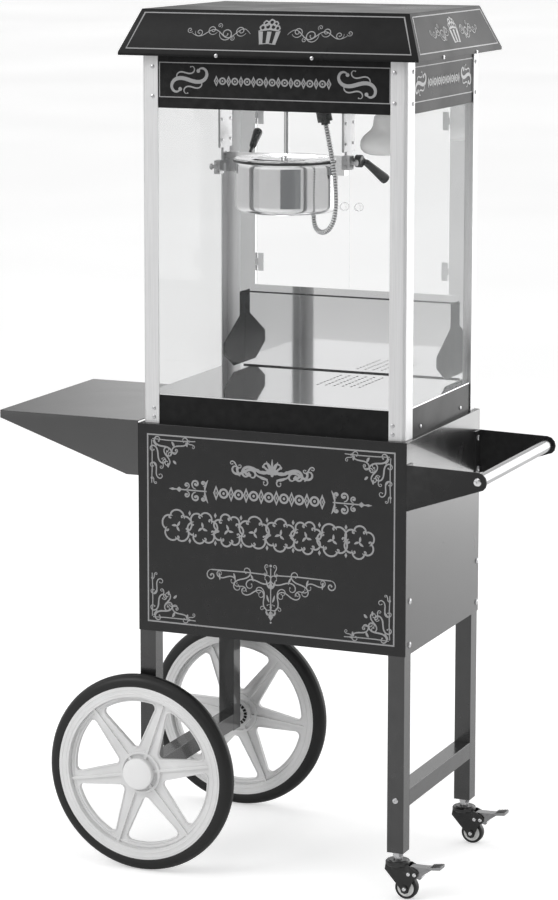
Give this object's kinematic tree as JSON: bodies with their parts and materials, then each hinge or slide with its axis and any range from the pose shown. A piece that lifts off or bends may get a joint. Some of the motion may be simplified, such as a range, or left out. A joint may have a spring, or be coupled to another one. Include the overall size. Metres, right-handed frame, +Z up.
{
  "type": "popcorn cart",
  "caption": "Wheeled popcorn cart: glazed popping cabinet with tilting kettle on a storage base with side tray, push handle, spoked wheels and braked casters.",
  "frame": {"origin": "on the floor at the centre of the cart's overall box", "axes": "+Z up; the cart's decorated front faces -Y, the push handle points along +X and the side tray along -X"},
  "size_m": [0.9149, 0.4726, 1.5169],
  "materials": {
    "cabinet_paint": "gloss",
    "frame_paint": "satin",
    "post_aluminium": "satin",
    "mirror_steel": "polished",
    "kettle_steel": "polished",
    "bright_chrome": "polished",
    "zinc": "satin",
    "pane_glass": "clear",
    "door_clear": "clear",
    "wheel_white": "satin",
    "cap_white": "gloss",
    "wheel_tyre": "matte",
    "caster_black": "gloss",
    "caster_core": "satin",
    "caster_tyre": "matte",
    "pedal_steel": "polished",
    "black_plastic": "gloss",
    "hose_armour": "ribbed",
    "bulb_glass": "frosted",
    "lamp_ceramic": "gloss",
    "motor_grey": "satin",
    "switch_red": "gloss"
  },
  "bodies": {
    "cart": {"cabinet_front_panel": "cabinet_paint", "cabinet_side_left": "cabinet_paint", "cabinet_side_right": "cabinet_paint", "cabinet_shelves": "cabinet_paint", "legs": "frame_paint", "cross_members": "frame_paint", "axle": "zinc", "axle_caps": "cap_white", "caster_stems": "zinc", "side_tray": "cabinet_paint", "handle_arms": "cabinet_paint", "handle_tube": "bright_chrome", "corner_posts": "post_aluminium", "base_rails": "cabinet_paint", "deck": "mirror_steel", "drawer_runners": "zinc", "glass_panes": "pane_glass", "rear_frame": "mirror_steel", "rear_wings": "cabinet_paint", "header_panels": "cabinet_paint", "switch_frames": "black_plastic", "mains_inlet": "black_plastic", "ceiling_plate": "mirror_steel", "hood": "cabinet_paint", "gear_motor": "motor_grey", "kettle_hangers": "kettle_steel", "kettle_plug": "black_plastic", "kettle_hose": "hose_armour", "lamp_holder": "lamp_ceramic", "lamp_bulb": "bulb_glass", "door_hinges": "zinc", "fasteners": "zinc"},
    "front_wheel": {"wheel_front_rim": "wheel_white", "wheel_front_tyre": "wheel_tyre"},
    "rear_wheel": {"wheel_rear_rim": "wheel_white", "wheel_rear_tyre": "wheel_tyre"},
    "caster_front_swivel": {"caster_front_fork": "caster_black"},
    "caster_front_wheel": {"caster_front_core": "caster_core", "caster_front_tyre": "caster_tyre"},
    "caster_front_brake": {"caster_front_pedal": "pedal_steel"},
    "caster_rear_swivel": {"caster_rear_fork": "caster_black"},
    "caster_rear_wheel": {"caster_rear_core": "caster_core", "caster_rear_tyre": "caster_tyre"},
    "caster_rear_brake": {"caster_rear_pedal": "pedal_steel"},
    "cabinet_door": {"storage_door": "cabinet_paint"},
    "drawer": {"crumb_drawer": "mirror_steel"},
    "left_glass_door": {"glass_door_left": "door_clear", "door_fittings_left": "mirror_steel"},
    "right_glass_door": {"glass_door_right": "door_clear", "door_fittings_right": "mirror_steel"},
    "kettle": {"kettle_pot": "kettle_steel", "kettle_lid": "kettle_steel", "dump_lever": "black_plastic"},
    "kettle_flap": {"lid_flap": "kettle_steel", "lid_grip": "black_plastic"},
    "stirrer": {"stirrer": "kettle_steel"},
    "drive": {"drive_coupling": "zinc"},
    "rocker_motor": {"switch_motor": "switch_red"},
    "rocker_heat": {"switch_heat": "switch_red"},
    "rocker_lamp": {"switch_lamp": "switch_red"}
  },
  "joints": [
    {"name": "front_wheel_spin", "type": "hinge", "parent": "cart", "child": "front_wheel", "pos_m": [-0.17295, -0.214, 0.1766], "axis": [0, 1, 0], "continuous": true},
    {"name": "rear_wheel_spin", "type": "hinge", "parent": "cart", "child": "rear_wheel", "pos_m": [-0.17295, 0.214, 0.1766], "axis": [0, 1, 0], "continuous": true},
    {"name": "caster_front_swivel", "type": "hinge", "parent": "cart", "child": "caster_front_swivel", "pos_m": [0.29775, -0.1785, 0.06], "axis": [0, 0, 1], "continuous": true},
    {"name": "caster_front_roll", "type": "hinge", "parent": "caster_front_swivel", "child": "caster_front_wheel", "pos_m": [0.31475, -0.1785, 0.02], "axis": [0, 1, 0], "continuous": true},
    {"name": "caster_front_brake", "type": "hinge", "parent": "caster_front_swivel", "child": "caster_front_brake", "pos_m": [0.32175, -0.1785, 0.047], "axis": [0, 1, 0], "range_deg": [0, 5]},
    {"name": "caster_rear_swivel", "type": "hinge", "parent": "cart", "child": "caster_rear_swivel", "pos_m": [0.29775, 0.1605, 0.06], "axis": [0, 0, 1], "continuous": true},
    {"name": "caster_rear_roll", "type": "hinge", "parent": "caster_rear_swivel", "child": "caster_rear_wheel", "pos_m": [0.31475, 0.1605, 0.02], "axis": [0, 1, 0], "continuous": true},
    {"name": "caster_rear_brake", "type": "hinge", "parent": "caster_rear_swivel", "child": "caster_rear_brake", "pos_m": [0.32175, 0.1605, 0.047], "axis": [0, 1, 0], "range_deg": [0, 5]},
    {"name": "storage_door_swing", "type": "hinge", "parent": "cart", "child": "cabinet_door", "pos_m": [-0.14975, 0.1805, 0.615], "axis": [0, 0, 1], "range_deg": [0, 110]},
    {"name": "crumb_drawer_slide", "type": "slide", "parent": "cart", "child": "drawer", "axis": [0, 1, 0], "range_m": [0, 0.13]},
    {"name": "glass_door_left_swing", "type": "hinge", "parent": "cart", "child": "left_glass_door", "pos_m": [-0.11975, 0.1725, 1.174], "axis": [0, 0, 1], "range_deg": [0, 100]},
    {"name": "glass_door_right_swing", "type": "hinge", "parent": "cart", "child": "right_glass_door", "pos_m": [0.25625, 0.1725, 1.174], "axis": [0, 0, -1], "range_deg": [0, 100]},
    {"name": "kettle_tilt", "type": "hinge", "parent": "cart", "child": "kettle", "pos_m": [0.01525, -0.007, 1.252], "axis": [-1, 0, 0], "range_deg": [0, 90], "deforming": ["kettle_hose"]},
    {"name": "lid_flap_lift", "type": "hinge", "parent": "kettle", "child": "kettle_flap", "pos_m": [0.01525, -0.0064, 1.2535], "axis": [1, 0, 0], "range_deg": [0, 60]},
    {"name": "stirrer_spin", "type": "hinge", "parent": "kettle", "child": "stirrer", "pos_m": [0.01525, -0.007, 1.252], "axis": [0, 0, 1], "continuous": true},
    {"name": "drive_spin", "type": "hinge", "parent": "cart", "child": "drive", "pos_m": [0.01525, -0.007, 1.37], "axis": [0, 0, 1], "continuous": true},
    {"name": "switch_motor_rock", "type": "hinge", "parent": "cart", "child": "rocker_motor", "pos_m": [0.00425, 0.169, 1.395], "axis": [1, 0, 0], "range_deg": [0, 12]},
    {"name": "switch_heat_rock", "type": "hinge", "parent": "cart", "child": "rocker_heat", "pos_m": [0.06425, 0.169, 1.395], "axis": [1, 0, 0], "range_deg": [0, 12]},
    {"name": "switch_lamp_rock", "type": "hinge", "parent": "cart", "child": "rocker_lamp", "pos_m": [0.12425, 0.169, 1.395], "axis": [1, 0, 0], "range_deg": [0, 12]}
  ],
  "couplings": [
    {"joint": "stirrer_spin", "follows": "drive_spin", "ratio": 1}
  ]
}
